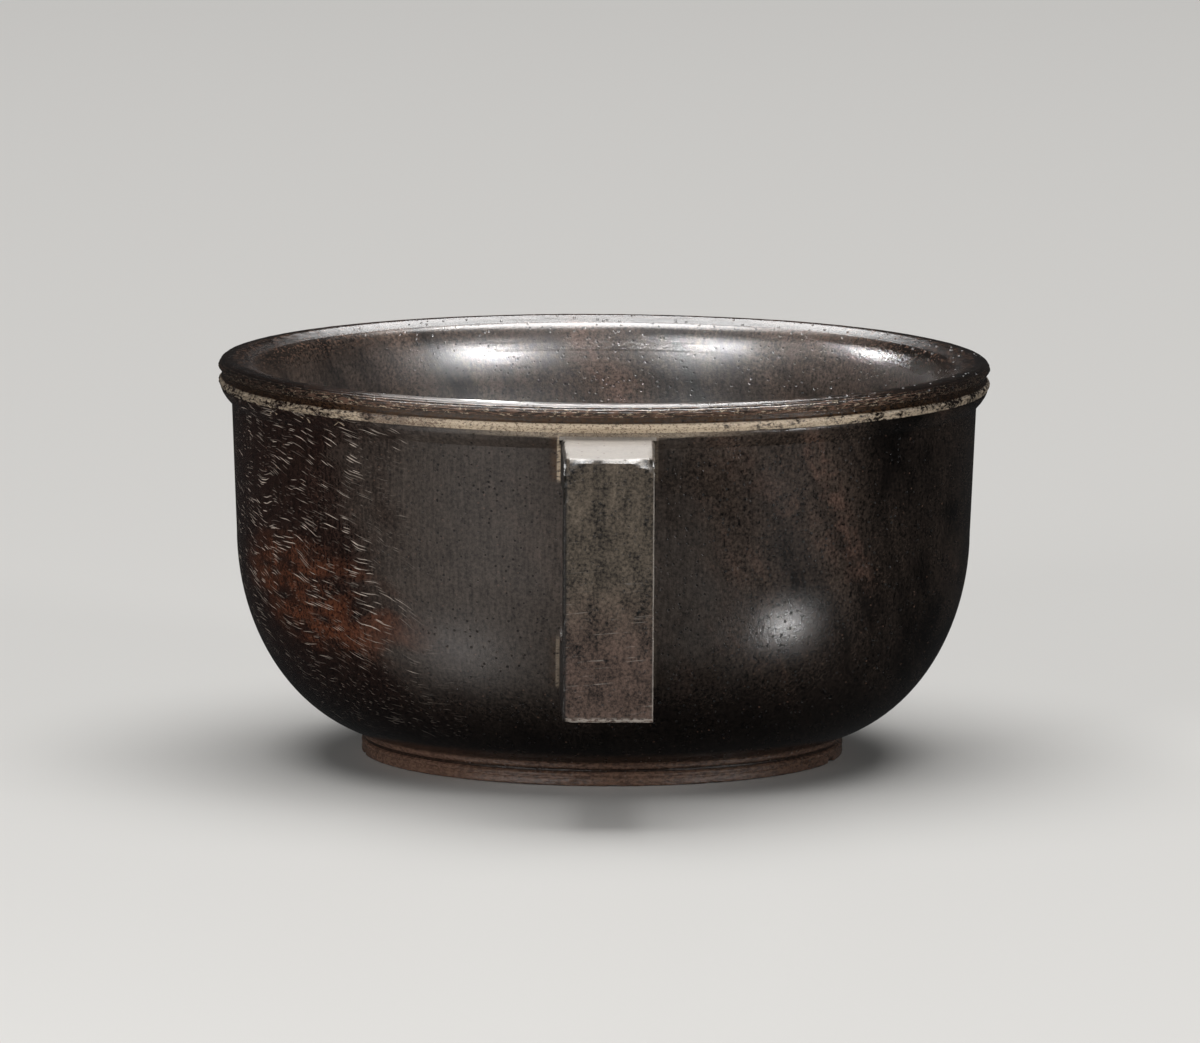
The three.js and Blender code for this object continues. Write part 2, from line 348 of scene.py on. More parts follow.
    def inner_line(self, steps=20, roll_steps=14, coarse=2.5 * MM, middling=1.3 * MM, fine=0.25 * MM):
        """From the crest over the lip's inner slope down the hollow to the floor's middle."""
        bowl, rim = self.bowl, self.rim
        crest = [
            (self.crest_radius, bowl.height),
            (self.crest_radius - rim.crest, bowl.height),
            (self.lip_edge, self.lip_edge_top),
        ]
        corner = (self.hollow_radius, self.lip_edge_top)
        roll = quarter(crest[-1], corner, (self.hollow_radius, self.hollow_top), roll_steps)
        low_radius = self.hollow_radius - bowl.hollow_taper
        wall = closer([roll[-1], (low_radius, self.belly_top)], middling)
        depth = self.belly_top - bowl.floor
        hollow = []
        for i in range(1, steps + 1):
            drop = depth * math.sin(i / steps * math.pi / 2)
            r = superellipse(bowl.floor_radius, low_radius, depth, bowl.fullness, drop)
            hollow.append((r, self.belly_top - drop))
        floor = closer([hollow[-1], (0, bowl.floor)], coarse)
        return closer(crest, fine)[1:] + roll[1:] + wall[1:] + hollow[:-1] + floor

    def turned_profile(self):
        return self.foot_line() + self.belly_line() + self.rim_line() + self.inner_line()


# Modelling by hand tools

def deselect_all():
    if bpy.context.object is not None and bpy.context.object.mode != "OBJECT":
        bpy.ops.object.mode_set(mode="OBJECT")
    bpy.ops.object.select_all(action="DESELECT")


def take_up(piece, mode="OBJECT"):
    """Makes a piece the active one and the only one that is selected."""
    deselect_all()
    bpy.context.view_layer.objects.active = piece
    piece.select_set(True)
    bpy.ops.object.mode_set(mode=mode)


def select_points(piece, test):
    """Selects the points that pass a test of their place, and is left in edit mode."""
    take_up(piece, "EDIT")
    bpy.ops.mesh.select_mode(type="VERT")
    bpy.ops.mesh.select_all(action="DESELECT")
    bpy.ops.object.mode_set(mode="OBJECT")
    for vertex in piece.data.vertices:
        vertex.select = test(vertex.co)
    bpy.ops.object.mode_set(mode="EDIT")


def draw_line(name, points):
    """A chain of vertices, each extruded from the last. It is left in edit mode with all selected."""
    deselect_all()
    bpy.ops.mesh.primitive_plane_add(size=MM)
    piece = bpy.context.object
    piece.name = piece.data.name = name
    bpy.ops.object.mode_set(mode="EDIT")
    bpy.ops.mesh.select_all(action="SELECT")
    bpy.ops.mesh.merge(type="CENTER")
    here = Vector(points[0])
    bpy.ops.transform.translate(value=here)
    for point in points[1:]:
        step = Vector(point) - here
        bpy.ops.mesh.extrude_region_move(TRANSFORM_OT_translate={"value": step})
        here = Vector(point)
    bpy.ops.mesh.select_all(action="SELECT")
    return piece


def close_mesh(merge_distance):
    """Merges doubles, turns all faces outwards and leaves edit mode."""
    bpy.ops.mesh.select_all(action="SELECT")
    bpy.ops.mesh.remove_doubles(threshold=merge_distance)
    bpy.ops.mesh.normals_make_consistent(inside=False)
    bpy.ops.object.mode_set(mode="OBJECT")


def turn(name, profile, steps):
    """Spins a profile, in distance from the axis and height, round the cup's axis."""
    piece = draw_line(name, [(r, 0, z) for r, z in profile])
    bpy.ops.mesh.spin(steps=steps, angle=2 * math.pi, center=(0, 0, 0), axis=(0, 0, 1))
    close_mesh(0.002 * MM)
    return piece


def saw(name, outline, across):
    """A flat outline, extruded along the vector across."""
    piece = draw_line(name, [*outline, outline[0]])
    bpy.ops.mesh.remove_doubles(threshold=0.001 * MM)
    bpy.ops.mesh.select_all(action="SELECT")
    bpy.ops.mesh.edge_face_add()
    bpy.ops.mesh.extrude_region_move(TRANSFORM_OT_translate={"value": across})
    close_mesh(0.001 * MM)
    return piece


def modify(piece, kind, **settings):
    """Adds one modifier and applies it."""
    take_up(piece)
    modifier = piece.modifiers.new(kind.title(), kind)
    for key, value in settings.items():
        setattr(modifier, key, value)
    bpy.ops.object.modifier_apply(modifier=modifier.name)


def combine(piece, other, operation):
    """Joins, cuts or crosses a piece with another, which is used up."""
    modify(piece, "BOOLEAN", operation=operation, object=other, solver="EXACT")
    bpy.data.objects.remove(other)


def slice_evenly(piece, axis, spacing):
    """Cuts a piece's faces into even strips across one axis."""
    places = [vertex.co[axis] for vertex in piece.data.vertices]
    low, high = min(places), max(places)
    count = round((high - low) / spacing)
    normal = Vector((0, 0, 0))
    normal[axis] = 1
    take_up(piece, "EDIT")
    for i in range(1, count):
        place = normal * lerp(low, high, i / count)
        bpy.ops.mesh.select_all(action="SELECT")
        bpy.ops.mesh.bisect(plane_co=place, plane_no=normal)
    bpy.ops.object.mode_set(mode="OBJECT")


def move_points(piece, rule):
    """Moves each point along its normal by what the rule says of its place."""
    normals = [vertex.normal.copy() for vertex in piece.data.vertices]
    for vertex, normal in zip(piece.data.vertices, normals):
        vertex.co += normal * rule(vertex.co)
    piece.data.update()


def smooth_step(value, low, high):
    t = min(max((value - low) / (high - low), 0), 1)
    return t * t * (3 - 2 * t)


def within(value, low, high, soft):
    """1 between low and high, falling to 0 over soft on both sides."""
    return smooth_step(value, low - soft, low) * (1 - smooth_step(value, high, high + soft))


def grain(place, along, across, seed=0):
    """Noise from -1 to 1, drawn out level and narrow in height."""
    return noise.noise(Vector((place.x / along + seed, place.y / along, place.z / across)))


# The bowl

def weather_bowl(piece, form, wear):
    """Unevenness of the turned surface, torn grain on the lip and the bead, chips in the foot."""
    edge = form.bowl.radius

    def rule(place):
        r = math.hypot(place.x, place.y)
        z = place.z
        shift = -wear.waviness * (0.5 + 0.5 * grain(place, 21 * MM, 17 * MM))
        if r > edge - 1.2 * MM and z > form.wall_top:
            lip = within(z, form.groove_top + 0.1 * MM, form.bowl.height - 0.45 * MM, 0.2 * MM)
            bead = within(z, form.bead_bottom - 0.2 * MM, form.bead_top, 0.15 * MM)
            tear = grain(place, 0.8 * MM, 0.2 * MM, 3) + 0.5 * grain(place, 0.35 * MM, 0.12 * MM, 5)
            lump = grain(place, 0.55 * MM, 0.25 * MM, 9) + 0.6 * grain(place, 5 * MM, 1 * MM, 11)
            shift -= wear.torn * lip * (0.45 + 0.55 * tear)
            shift -= wear.bead * bead * (0.45 + 0.5 * lump)
        if z > form.lip_edge_top - 0.2 * MM:
            shift -= 0.02 * MM * (1 + grain(place, 0.9 * MM, 0.4 * MM, 21))
        if z < form.belly_bottom and r > form.foot.recess:
            foot = 1 - smooth_step(z, form.foot.line - 0.1 * MM, form.foot.line + 0.2 * MM)
            rough = grain(place, 1.1 * MM, 0.5 * MM, 31) + 0.5 * grain(place, 0.5 * MM, 0.3 * MM, 33)
            shift -= 0.5 * wear.torn * (0.3 + 0.7 * foot) * (0.5 + 0.5 * rough)
            gap = smooth_step(grain(place, 3.2 * MM, 4 * MM, 41), 0.3, 0.55)
            edge_share = smooth_step(r, form.foot.radius - 1 * MM, form.foot.radius)
            corner = within(z, -1 * MM, 0.25 * MM, 0.3 * MM) * edge_share
            shift -= wear.chip * gap * corner
        return shift

    move_points(piece, rule)


# Angle from the front in degrees, length and sag in millimetres, and the way each fibre points
TORN_FIBRES = [
    (-64, 1.6, 0.5, 1), (-60.5, 2.4, 0.8, 1), (-57, 1.4, 0.9, -1),
    (-55, 3.2, 0.7, 1), (-51.5, 1.8, 1.1, 1), (-48.5, 2.6, 0.5, -1),
    (-46.5, 3.4, 0.9, 1), (-43.5, 1.5, 0.6, 1), (-40.5, 2.2, 1.0, -1),
]


def tear_fibres(cup, form, wear, steps=8):
    """Thin fibres torn from the bead's lower edge. They taper and sag to one side or the other."""
    bunch = None
    for degrees, long, sag, way in TORN_FIBRES:
        angle = math.radians(degrees)
        out = Vector((math.sin(angle), -math.cos(angle), 0))
        along = Vector((math.cos(angle), math.sin(angle), 0)) * way
        root = out * (form.bowl.radius - 0.2 * MM) + Vector((0, 0, form.bead_bottom + 0.1 * MM))
        upper, lower = [], []
        for i in range(steps + 1):
            t = i / steps
            middle = root + along * long * MM * t - Vector((0, 0, sag * MM * t ** 1.6))
            half = Vector((0, 0, wear.fibre / 2 * (1 - 0.85 * t)))
            upper.append(middle + half)
            lower.append(middle - half)
        fibre = saw("fibre", upper + lower[::-1], out * wear.fibre)
        if bunch is None:
            bunch = fibre
        else:
            combine(bunch, fibre, "UNION")
    combine(cup, bunch, "UNION")


# The handles

def rounded_corner(before, corner, after, radius, steps=6):
    """An arc of that radius in the corner of an outline."""
    back = (before - corner).normalized()
    ahead = (after - corner).normalized()
    half = back.angle(ahead) / 2
    centre = corner + (back + ahead).normalized() * radius / math.sin(half)
    start = corner + back * radius / math.tan(half) - centre
    end = corner + ahead * radius / math.tan(half) - centre
    arc = start.rotation_difference(end)
    turn_by = [Quaternion(arc.axis, arc.angle * i / steps) for i in range(steps + 1)]
    return [centre + turned @ start for turned in turn_by]


def handle_blank(form):
    """The handle's side view, sawn out along X and narrowed to the front. It points to -Y."""
    handle = form.handle
    half = handle.root / 2
    low, high = handle.bottom, form.handle_top
    front = -handle.reach
    inner_low = -form.outer_radius(low) + 1.8 * MM
    inner_high = -form.belly_radius + 1.4 * MM
    corner = Vector((-half, front, low))
    before = Vector((-half, inner_low, low))
    after = Vector((-half, front, high))
    side = [
        before,
        *rounded_corner(before, corner, after, handle.rounding),
        Vector((-half, front, high - handle.chamfer)),
        Vector((-half, front + handle.chamfer, high)),
        Vector((-half, inner_high, high)),
        Vector((-half, inner_high, form.belly_top)),
    ]
    piece = saw("handle", side, (handle.root, 0, 0))
    select_points(piece, lambda place: place.y < front + 2 * handle.rounding)
    bpy.ops.transform.resize(value=(handle.width / handle.root, 1, 1), center_override=(0, 0, 0))
    bpy.ops.object.mode_set(mode="OBJECT")
    return piece


def finger_opening(form):
    """The plug that cuts the finger opening through a handle."""
    handle = form.handle
    low, high = handle.bottom + handle.lower, form.handle_top - handle.upper
    half = handle.root
    inner = -math.sqrt(form.outer_radius(low) ** 2 - (handle.root / 2) ** 2)
    outer = -handle.reach + handle.grip
    corners = [Vector((-half, inner, low)), Vector((-half, outer, low)),
               Vector((-half, outer, high)), Vector((-half, inner, high))]
    outline = []
    for i, corner in enumerate(corners):
        outline += rounded_corner(corners[i - 1], corner, corners[(i + 1) % 4], handle.opening)
    return saw("opening", outline, (2 * half, 0, 0))


def wear_handle(piece, form, wear, seed, left_way):
    """Wears the front edges and corners, and nicks the upright arrises.

    The cup's left side is the more worn. It lies to +X or -X of the handle, as left_way says.
    """
    handle = form.handle
    top_edge, top_corner, top_side = 0.45 * MM, 1.2 * MM, 0.35 * MM
    low_edge, low_corner = 0.35 * MM, 0.75 * MM
    right_share = 0.3
    half = handle.width / 2
    widening = (handle.root - handle.width) / 2 / (handle.reach - form.belly_radius)
    for vertex in piece.data.vertices:
        place = vertex.co.copy()
        sideways = -math.copysign(1, place.x)
        in_front = place.y + handle.reach
        in_top = form.handle_top - place.z
        in_bottom = place.z - handle.bottom
        in_side = half + in_front * widening - abs(place.x)
        corner = (abs(place.x) / half) ** 4
        left = 1 if place.x * left_way > 0 else right_share
        top = (top_edge + top_corner * corner) * (1 + 0.35 * grain(place, 1.3 * MM, 1.3 * MM, seed))
        bottom = low_edge + low_corner * corner * left
        bottom *= 1 + 0.4 * grain(place, 1.1 * MM, 1.1 * MM, seed + 1)
        nick = smooth_step(grain(place, 2.1 * MM, 0.5 * MM, seed + 2), 0.22, 0.6)
        ragged = 0.06 * MM * (1 + grain(place, 0.6 * MM, 0.35 * MM, seed + 4))
        side = ragged + wear.nick * nick * (0.4 + 0.6 * left)
        corners = [
            (in_front + in_top, top, (0, 1, -1)),
            (in_front + in_bottom, bottom, (0, 1, 1)),
            (in_front + in_side, side, (sideways, 1, 0)),
            (in_top + in_side, top_side + side, (sideways, 0, -1)),
        ]
        for inside, depth, way in corners:
            place += Vector(way) * (max(depth - inside, 0) / 2)
        vertex.co = place

    def rule(place):
        return -wear.waviness * (0.5 + 0.5 * noise.noise(place / (4.5 * MM) + Vector((seed, 0, 0))))

    piece.data.update()
    move_points(piece, rule)


def carve_handle(form, wear, seed, left_way):
    """A worn handle that points to -Y. Its seed gives it nicks of its own."""
    piece = handle_blank(form)
    combine(piece, finger_opening(form), "DIFFERENCE")
    limit = math.radians(50)
    modify(piece, "BEVEL", width=form.handle.arris, segments=2, limit_method="ANGLE", angle_limit=limit)
    for axis in range(3):
        slice_evenly(piece, axis, form.handle.cell)
    wear_handle(piece, form, wear, seed, left_way)
    return piece


def carve_ledges(form):
    """Wood left standing under the bead beside a handle, thinning out along the rim."""
    handle = form.handle
    outer = form.bowl.radius - handle.ledge_inset
    inner = form.wall_radius - form.bowl.wall / 2
    low = form.bead_bottom - handle.ledge
    high = lerp(form.bead_bottom, form.bead_top, 0.3)
    section = [(inner, low), (outer, low), (outer, high), (inner, high), (inner, low)]
    ring = turn("ledges", section, form.bowl.turns)
    half = handle.root / 2
    wedge = [
        (-half - handle.left_ledge, 0, high), (-half - handle.left_ledge, 0, form.bead_bottom),
        (-half, 0, low), (half, 0, low),
        (half + handle.right_ledge, 0, form.bead_bottom), (half + handle.right_ledge, 0, high),
    ]
    combine(ring, saw("wedge", [Vector(p) for p in wedge], (0, -form.bowl.radius, 0)), "INTERSECT")
    return ring


def turn_half_round(piece):
    """Turns a piece to the cup's other side."""
    take_up(piece, "EDIT")
    bpy.ops.mesh.select_all(action="SELECT")
    bpy.ops.transform.rotate(value=math.pi, orient_axis="Z", center_override=(0, 0, 0))
    bpy.ops.object.mode_set(mode="OBJECT")


# Shader maths

class Signal:
    """A shader socket on which Python's operators add Math nodes."""

    def __init__(self, sheet, socket):
        self.sheet = sheet
        self.socket = socket

    def __add__(self, other):
        return self.sheet.maths("ADD", self, other)

    def __radd__(self, other):
        return self.sheet.maths("ADD", other, self)

    def __sub__(self, other):
        return self.sheet.maths("SUBTRACT", self, other)

    def __rsub__(self, other):
        return self.sheet.maths("SUBTRACT", other, self)

    def __mul__(self, other):
        return self.sheet.maths("MULTIPLY", self, other)

    def __rmul__(self, other):
        return self.sheet.maths("MULTIPLY", other, self)

    def __truediv__(self, other):
        return self.sheet.maths("DIVIDE", self, other)

    def __pow__(self, other):
        return self.sheet.maths("POWER", self, other)

    def __abs__(self):
        return self.sheet.maths("ABSOLUTE", self)

    def rise(self, low, high):
        """0 below low, 1 above high, smooth between."""
        settings = {"interpolation_type": "SMOOTHSTEP"}
        sockets = {"Value": self, "From Min": low, "From Max": high}
        return self.sheet.node("ShaderNodeMapRange", settings, sockets)

    def fall(self, low, high):
        return 1 - self.rise(low, high)

    def between(self, low, high, soft):
        return self.rise(low - soft, low) * self.fall(high, high + soft)


class Sheet:
    """One material's nodes."""

    def __init__(self, name):
        self.material = bpy.data.materials.new(name)
        self.material.use_nodes = True
        self.tree = self.material.node_tree
        self.tree.nodes.clear()

    def node(self, kind, settings=None, sockets=None, output=0):
        """Adds a node: its settings first, then the values or links of its sockets."""
        made = self.tree.nodes.new(kind)
        for key, value in (settings or {}).items():
            if key == "stops":
                self.set_stops(made.color_ramp, value)
            else:
                setattr(made, key, value)
        for key, value in (sockets or {}).items():
            if isinstance(value, Signal):
                self.tree.links.new(value.socket, made.inputs[key])
            else:
                made.inputs[key].default_value = value
        return Signal(self, made.outputs[output]) if made.outputs else None

    def set_stops(self, ramp, stops):
        while len(ramp.elements) < len(stops):
            ramp.elements.new(1)
        for element, (place, shade) in zip(ramp.elements, stops):
            element.position = place
            element.color = (*shade, 1)

    def maths(self, operation, *values):
        return self.node("ShaderNodeMath", {"operation": operation}, dict(enumerate(values)))

    def vector(self, operation, first, second):
        return self.node("ShaderNodeVectorMath", {"operation": operation}, {0: first, 1: second})

    def scaled(self, vector, factors):
        return self.vector("MULTIPLY", vector, factors)

    def joined(self, x, y, z):
        return self.node("ShaderNodeCombineXYZ", {}, {0: x, 1: y, 2: z})

    def noise(self, vector, detail=2.0, roughness=0.5, distortion=0.0, output=0):
        sockets = {"Vector": vector, "Scale": 1.0}
        sockets |= {"Detail": detail, "Roughness": roughness, "Distortion": distortion}
        return self.node("ShaderNodeTexNoise", {"noise_dimensions": "3D"}, sockets, output)

    def spots(self, vector, radius, share_left_out, dimensions="3D"):
        """Small spots at random places, some brighter than others, and 0 outside their radius."""
        sockets = {"Vector": vector, "Scale": 1.0, "Randomness": 1.0}
        near = self.node("ShaderNodeTexVoronoi", {"voronoi_dimensions": dimensions}, sockets)
        drawn = Signal(self, near.socket.node.outputs["Color"])
        chosen = self.node("ShaderNodeSeparateColor", {}, {"Color": drawn})
        bright = Signal(self, chosen.socket.node.outputs["Green"])
        return near.fall(0.5 * radius, radius) * chosen.fall(share_left_out, share_left_out + 0.02) * bright

    def mix(self, mask, first, second):
        """Blends two colours."""
        values = [value if isinstance(value, Signal) else (*value, 1) for value in (first, second)]
        settings = {"data_type": "RGBA", "clamp_factor": True}
        return self.node("ShaderNodeMix", settings, {0: mask, 6: values[0], 7: values[1]}, 2)

    def surface(self, sockets):
        """Adds the shader and returns the material."""
        shader = self.node("ShaderNodeBsdfPrincipled", {}, sockets)
        self.node("ShaderNodeOutputMaterial", {"target": "ALL"}, {"Surface": shader})
        return self.material


def mm(value):
    return value / MM


class DarkHardwood(Sheet):
    """Dark, polished, curly hardwood, in millimetres.

    r is the distance from the cup's axis and arc the way along the wall from the front handle,
    negative to the left. Each method lays its colours over self.base.
    """
    CURLY_ZONE = (-90, -29)
    SHEEN_ZONE = (-18, 2)
    DARK_ZONE = (34, 80)
    AMBER_ARC, AMBER_HEIGHT = -35, 19
    VEIN_ARCS = (42, 55.6)

    def __init__(self, name, form, shades):
        super().__init__(name)
        self.form = form
        self.shades = shades
        where = self.node("ShaderNodeTexCoord", output="Object")
        self.place = self.scaled(where, (1 / MM, 1 / MM, 1 / MM))
        parts = [self.node("ShaderNodeSeparateXYZ", {}, {0: self.place}, i) for i in range(3)]
        self.x, self.y, self.z = parts
        self.r = self.maths("SQRT", self.x * self.x + self.y * self.y)
        self.arc = self.maths("ARCTAN2", self.x, self.y * -1) * mm(form.wall_radius)
        self.find_parts()

    def pattern(self, waves, detail=2.0, roughness=0.5, output=0):
        """Noise with that many waves in a millimetre along x, y and z."""
        return self.noise(self.scaled(self.place, waves), detail, roughness, 0.0, output)

    def lay(self, mask, shade):
        """Covers the base with a colour as far as the mask says."""
        self.base = self.mix(mask, self.base, shade)

    def find_parts(self):
        """Masks of the hollow, the handles and the outside of the bowl."""
        form = self.form
        belly_top = mm(form.belly_top)
        middle = mm(form.hollow_radius + form.wall_radius) / 2
        level_radius, level_height = 15, 3.4  # where the ellipse that parts the hollow from the outside ends
        across = self.maths("MAXIMUM", self.r - level_radius, 0) / (middle - level_radius)
        down = self.maths("MAXIMUM", belly_top - self.z, 0) / (belly_top - level_height)
        self.inside = (across * across + down * down).fall(0.96, 1.04)
        half, top, root = mm(form.handle.root) / 2, mm(form.handle_top), mm(form.wall_radius)
        beside = abs(self.x).fall(half + 0.03, half + 0.12)
        self.handle = beside * abs(self.y).rise(root, root + 0.2) * self.z.fall(top + 0.15, top + 0.3)
        self.outside = (1 - self.inside) * (1 - self.handle)
        self.front_right = (self.x * self.y * -1).rise(0, 1)

    def grow(self):
        """Growth layers: broad and narrow streaks that lean across the cup."""
        shades = self.shades
        layers = Vector((0.86, 0.14, 0.5)).normalized()
        lean = layers.rotation_difference(Vector((1, 0, 0))).to_euler()
        sockets = {"Vector": self.place, "Rotation": lean}
        turned = self.node("ShaderNodeMapping", {"vector_type": "POINT"}, sockets)
        drift = self.vector("SUBTRACT", self.pattern((0.04, 0.04, 0.045), output=1), (0.5, 0.5, 0.5))
        turned = self.vector("ADD", turned, self.scaled(drift, (13, 13, 13)))
        broad = self.noise(self.scaled(turned, (0.15, 0.03, 0.03)), 2, 0.5, 0.2)
        narrow = self.noise(self.scaled(turned, (0.55, 0.05, 0.05)), 3, 0.6, 0.2)
        fray = self.noise(self.scaled(turned, (2.2, 0.5, 0.5)), 3, 0.6)
        tone = broad * 0.55 + narrow * 0.30 + fray * 0.15
        stops = [(0.36, shades.heart_and_shade), (0.47, shades.dark), (0.57, shades.brown), (0.72, shades.red)]
        self.base = self.node("ShaderNodeValToRGB", {"stops": stops}, {"Fac": tone})

    def lay_patches(self):
        """Ruddy and amber wood on the left, a painted sheen on the even wood beside the handle, two red veins
        in the dark, dark wood on the right, and painted shade low on the belly.
        """
        shades = self.shades
        cloud = self.pattern((0.1, 0.1, 0.1), 2, 0.6)
        wander = self.arc + (cloud - 0.5) * 26
        self.left = wander.between(*self.CURLY_ZONE, 16)
        self.lay(self.left * self.outside * 0.85, shades.ruddy)
        # Painted sheen: the even wood beside the front handle is laid lighter and greyer where a lamp's broad
        # reflection falls.
        self.even = wander.between(*self.SHEEN_ZONE, 14) * self.outside * self.z.rise(6, 14)
        self.lay(self.even * 0.8, shades.brown_and_painted_sheen)
        along = self.arc - self.AMBER_ARC
        u = along / 16
        v = (self.z - self.AMBER_HEIGHT + along * 0.16) / 6
        warm = (u * u + v * v).fall(0.15, 1.25) * self.outside
        warm = warm * self.pattern((0.16, 0.16, 0.34), 2, 0.6).rise(0.36, 0.6)
        self.lay(warm * 0.75, shades.amber)
        torn = self.pattern((0.6, 0.6, 0.6), 2, 0.6)
        first = abs(self.arc - self.VEIN_ARCS[0] + self.z * 0.547 + (torn - 0.5) * 4).fall(0.4, 1.9)
        second = abs(self.arc - self.VEIN_ARCS[1] + self.z * 1.2 + (torn - 0.5) * 6).fall(0.8, 3) * 0.4
        veins = self.maths("MAXIMUM", first, second) * self.z.between(23, 36, 4) * self.outside
        self.lay(veins * torn.rise(0.36, 0.6) * 0.7, shades.red)
        side = self.arc.between(*self.DARK_ZONE, 10) * (0.6 + cloud.fall(0.35, 0.6) * 0.4)
        # Painted shade: the belly darkens towards the bottom, where it turns under, a little higher on the
        # right.
        low = (self.z + self.arc.fall(-2, 6) * 3).fall(7, 19) * 0.92
        self.lay(self.maths("MAXIMUM", side, low) * self.outside * self.z.rise(2.3, 2.8), shades.heart_and_shade)

    def speckle(self):
        """Fine lighter and darker grains all over, upright drag marks, and a lighter hollow."""
        grain_contrast, drag_contrast, hollow_lift = 5, 1.2, 1.3
        self.grain = self.pattern((2.9, 2.9, 2.9), 3, 0.7)
        drag = self.pattern((3.0, 3.0, 0.3))
        speckle = (self.grain - 0.5) * grain_contrast * (1 - self.even * 0.5)
        factor = (1 + speckle + (drag - 0.5) * drag_contrast) * (1 + self.inside * hollow_lift)
        self.base = self.scaled(self.base, factor)

    def open_pores(self):
        """Pores along Y: dark dots on the end grain in front, pale curly dashes on the left."""
        shades, arc = self.shades, self.arc
        swirl = self.noise(self.joined(arc / 4.2, 3.7, self.z / 7), 1.5)
        swell = self.noise(self.joined(arc / 15, 8.1, self.z / 12), 1)
        lifted = self.z + arc * 0.2 + swirl * 1.7 + swell * 5
        dashes = self.spots(self.joined(arc / 7.5, lifted / 0.27, 0), 0.19, 0.8, "2D") ** 1.6
        dashes = dashes + self.spots(self.joined(arc / 3.3 + 5, lifted / 0.24, 0), 0.21, 0.6, "2D") ** 1.6
        short = self.spots(self.joined(arc / 1.2 + 7, lifted / 0.27, 0), 0.22, 0.5, "2D")
        gather = self.noise(self.joined(arc / 5, 1.3, lifted / 4), 3, 0.6)
        curly = self.left.rise(0.2, 1) * self.outside * self.z.between(7, 36.5, 4)
        long_ones = curly * gather.rise(0.4, 0.56) * (0.3 + self.z.rise(9, 20) * 0.7)
        short_ones = curly * gather.fall(0.36, 0.62) * (0.4 + abs(arc).rise(44, 56) * 0.6)
        flecks = self.maths("MINIMUM", dashes * long_ones * 1.15 + short * short_ones * 0.6, 1)
        self.lay(flecks, shades.fleck)
        specks = self.spots(self.joined(self.x / 0.7 + 3, self.y / 2.0, self.z / 0.7), 0.18, 0.5)
        self.lay(specks * arc.between(-60, 60, 20) * 0.4, shades.bare)
        holes = self.spots(self.joined(self.x / 0.6, self.y / 2.0, self.z / 0.6), 0.25, 0.6)
        self.holes = self.maths("MINIMUM", holes * 2.5, 1) * (1 - self.left)
        self.lay(self.holes * 0.8, shades.heart_and_shade)

    def soil_rim(self):
        """Rough brown lip, stained groove, dusty bead and ledges, a polished crest, and painted shade on the
        rim's top towards its two sides.
        """
        form, shades = self.form, self.shades
        top, wall, wall_top = mm(form.bowl.height), mm(form.wall_radius), mm(form.wall_top)
        groove_top, bead_top, bead_bottom = mm(form.groove_top), mm(form.bead_top), mm(form.bead_bottom)
        outer = self.r.rise(wall - 0.3, wall)
        self.crumbs = self.pattern((1.8, 1.8, 4.0), 3, 0.7)
        fibres = self.noise(self.joined(self.arc * 0.9, 2.2, self.z * 7), 3, 0.65)
        lip = self.z.between(groove_top + 0.1, top - 0.4, 0.12) * outer
        self.lay(lip * 0.6, shades.dark)
        self.lay(lip * fibres.rise(0.46, 0.6) * 0.9, shades.bare)
        self.lay(lip * self.crumbs.rise(0.56, 0.64) * 0.75, shades.dust)
        groove = self.z.between(bead_top + 0.05, groove_top - 0.05, 0.1) * outer
        self.lay(groove * self.crumbs.rise(0.35, 0.65) * 0.8, shades.rust)

        bead = self.z.between(bead_bottom - 0.12, bead_top - 0.02, 0.12) * outer
        patchy = self.pattern((0.35, 0.35, 0.8), 1, 0.6)
        dusty = bead * (self.crumbs + patchy * 0.5 + abs(self.x).fall(8, 30) * 0.2).rise(0.64, 0.88)
        ledge = abs(self.x).fall(6, 17) * self.z.between(mm(form.handle_top) + 0.25, bead_bottom, 0.25)
        dusty = dusty + ledge * outer * (0.3 + self.crumbs.rise(0.35, 0.65) * 0.3)
        self.dusty = self.maths("MINIMUM", dusty, 1)
        stained = self.pattern((4, 4, 6), 1, 0.7).rise(0.5, 0.68) * 0.7
        self.lay(self.dusty, self.mix(stained, shades.dust, shades.rust))
        slope = (mm(form.bowl.radius) - wall) / (bead_bottom - wall_top)
        proud = self.r - wall - (self.z - wall_top) * slope
        loose = proud.rise(0.3, 0.45) * self.z.between(wall_top, bead_bottom - 0.2, 0.1)
        self.lay(loose * self.left * 0.8, shades.dust)
        russet = self.arc.between(-25, -17, 2) * bead * self.crumbs.rise(0.4, 0.6)
        self.lay(russet * 0.8, shades.red)

        lines = self.z.between(top - 0.26, top - 0.24, 0.05) + self.z.between(top - 0.5, top - 0.46, 0.06)
        self.lay(lines * outer * self.crumbs.rise(0.3, 0.5) * 0.8, shades.heart_and_shade)
        self.polished = self.z.rise(top - 0.5, top - 0.15)
        self.rough_wood = self.maths("MINIMUM", lip + groove + bead, 1) * 0.6 + ledge * 0.3
        self.lay(self.polished * fibres.rise(0.4, 0.7) * 0.3, shades.bare)
        high = self.z.rise(top - 4, top - 0.6)
        # Painted shade: the rim's top, inside and out, darkened towards its two sides along X.
        self.ends = high * abs(self.x).rise(22, 35)
        self.lay(self.ends * 0.8, shades.heart_and_shade)
        crumbly = self.crumbs.rise(0.52, 0.64) * high * abs(self.x).rise(12, 30) * (1 - outer)
        self.lay(crumbly * 0.7, shades.bare)

